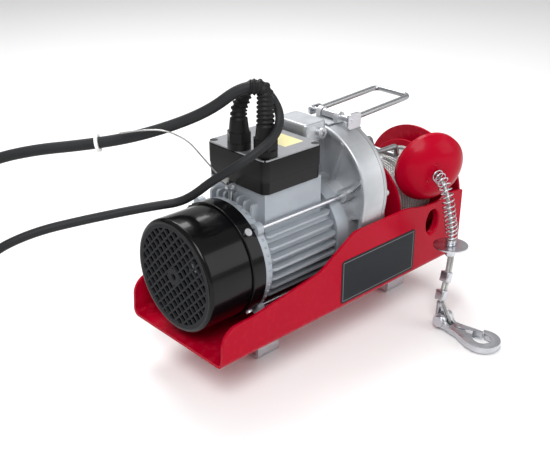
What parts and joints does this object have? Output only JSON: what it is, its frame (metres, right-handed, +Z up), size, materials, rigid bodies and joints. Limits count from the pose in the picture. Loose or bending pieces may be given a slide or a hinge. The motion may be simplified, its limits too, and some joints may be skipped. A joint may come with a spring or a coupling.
{
  "type": "electric wire rope hoist",
  "caption": "Small electric wire rope hoist in a pressed steel channel with motor, gearbox, rope drum, limit bails, hook and pendant control.",
  "frame": {"origin": "middle of the front mounting strap's underside, on the ground plane", "axes": "+X runs from the motor's fan cover to the rope drum, +Z up, and the rope's end leaves the drum on the -Y side"},
  "size_m": [0.7727, 0.4578, 0.3154],
  "materials": {
    "red_enamel": "gloss",
    "black_enamel": "gloss",
    "grille_plastic": "matte",
    "cast_aluminium": "satin",
    "zinc": "satin",
    "steel": "satin",
    "rope_steel": "satin",
    "box_plastic": "satin",
    "gland_plastic": "satin",
    "cable_rubber": "matte",
    "plate_aluminium": "satin",
    "panel_film": "satin",
    "tie_plastic": "satin",
    "copper": "satin",
    "pendant_yellow": "satin",
    "button_white": "satin",
    "button_black": "satin",
    "button_red": "satin",
    "gasket": "matte"
  },
  "bodies": {
    "frame": {"bail_spring": "zinc", "ball_bearings": "steel", "bell_spring": "zinc", "cable_boots": "cable_rubber", "cable_glands": "gland_plastic", "cable_tie": "tie_plastic", "case_screws": "zinc", "control_cable": "cable_rubber", "control_coil": "cable_rubber", "cover_plate": "plate_aluminium", "end_bearing_housing": "cast_aluminium", "end_plate": "red_enamel", "fan_cover": "black_enamel", "fan_grille": "grille_plastic", "frame_channel": "red_enamel", "frame_fasteners": "zinc", "gearbox_cover": "cast_aluminium", "gearbox_gasket": "gasket", "gearbox_housing": "cast_aluminium", "limit_switches": "box_plastic", "mains_cable": "cable_rubber", "mains_coil": "cable_rubber", "mains_plug": "gland_plastic", "motor_end_shield": "cast_aluminium", "motor_housing": "cast_aluminium", "mounting_straps": "black_enamel", "pendant_back": "pendant_yellow", "pendant_front": "pendant_yellow", "rope_end": "rope_steel", "rope_ferrules": "zinc", "run_capacitor": "plate_aluminium", "side_panels": "panel_film", "stator_core": "steel", "stator_windings": "copper", "stop_washer": "zinc", "strain_wire": "rope_steel", "switch_housing": "cast_aluminium", "terminal_box": "box_plastic", "terminal_box_lid": "box_plastic", "terminal_strip": "box_plastic", "thimble": "zinc", "tie_rods": "zinc"},
    "drum": {"drum": "red_enamel", "drum_shaft": "steel", "drum_gear": "steel", "wound_rope": "rope_steel"},
    "rotor": {"rotor": "steel", "cooling_fan": "grille_plastic"},
    "countershaft": {"countershaft": "steel"},
    "limit_bail": {"limit_bail": "zinc", "limit_shaft": "zinc"},
    "slack_bail": {"slack_bail": "zinc"},
    "stop_bell": {"stop_bell": "red_enamel"},
    "hook": {"hook": "zinc", "hook_pin": "zinc", "latch_rivet": "zinc"},
    "hook_latch": {"hook_latch": "zinc"},
    "up_button": {"pendant_up_button": "button_white"},
    "down_button": {"pendant_down_button": "button_black"},
    "stop_button": {"pendant_stop_button": "button_red"}
  },
  "joints": [
    {"name": "drum_spin", "type": "hinge", "parent": "frame", "child": "drum", "pos_m": [0.1975, 0, 0.1245], "axis": [1, 0, 0], "continuous": true},
    {"name": "rotor_spin", "type": "hinge", "parent": "frame", "child": "rotor", "pos_m": [0.0275, 0, 0.1245], "axis": [1, 0, 0], "continuous": true},
    {"name": "countershaft_spin", "type": "hinge", "parent": "frame", "child": "countershaft", "pos_m": [0.1225, 0, 0.1645], "axis": [1, 0, 0], "continuous": true},
    {"name": "limit_bail_swing", "type": "hinge", "parent": "frame", "child": "limit_bail", "pos_m": [0.1255, 0, 0.244], "axis": [0, 1, 0], "range_deg": [-8, 10], "stiffness_Nm_per_rad": 0.6},
    {"name": "slack_bail_swing", "type": "hinge", "parent": "frame", "child": "slack_bail", "pos_m": [0.1455, 0, 0.191], "axis": [0, 1, 0], "range_deg": [-14, 2], "stiffness_Nm_per_rad": 0.4},
    {"name": "stop_bell_slide", "type": "slide", "parent": "frame", "child": "stop_bell", "axis": [-0.4198, -0.8996, -0.12], "range_m": [0, 0.005], "stiffness_N_per_m": 900, "deforming": ["bell_spring"]},
    {"name": "hook_swing", "type": "hinge", "parent": "frame", "child": "hook", "pos_m": [0.1895, -0.125, 0.0115], "axis": [1, 0, 0], "range_deg": [-70, 95]},
    {"name": "latch_swing", "type": "hinge", "parent": "hook", "child": "hook_latch", "pos_m": [0.1925, -0.144, 0.0115], "axis": [0, 0, 1], "range_deg": [-32, 0], "stiffness_Nm_per_rad": 0.01},
    {"name": "up_press", "type": "slide", "parent": "frame", "child": "up_button", "axis": [0, 0, -1], "range_m": [0, 0.003], "stiffness_N_per_m": 600},
    {"name": "down_press", "type": "slide", "parent": "frame", "child": "down_button", "axis": [0, 0, -1], "range_m": [0, 0.003], "stiffness_N_per_m": 600},
    {"name": "stop_press", "type": "slide", "parent": "frame", "child": "stop_button", "axis": [0, 0, -1], "range_m": [0, 0.004]}
  ],
  "couplings": [
    {"joint": "countershaft_spin", "follows": "drum_spin", "ratio": -4.8182},
    {"joint": "rotor_spin", "follows": "drum_spin", "ratio": 33.727}
  ]
}
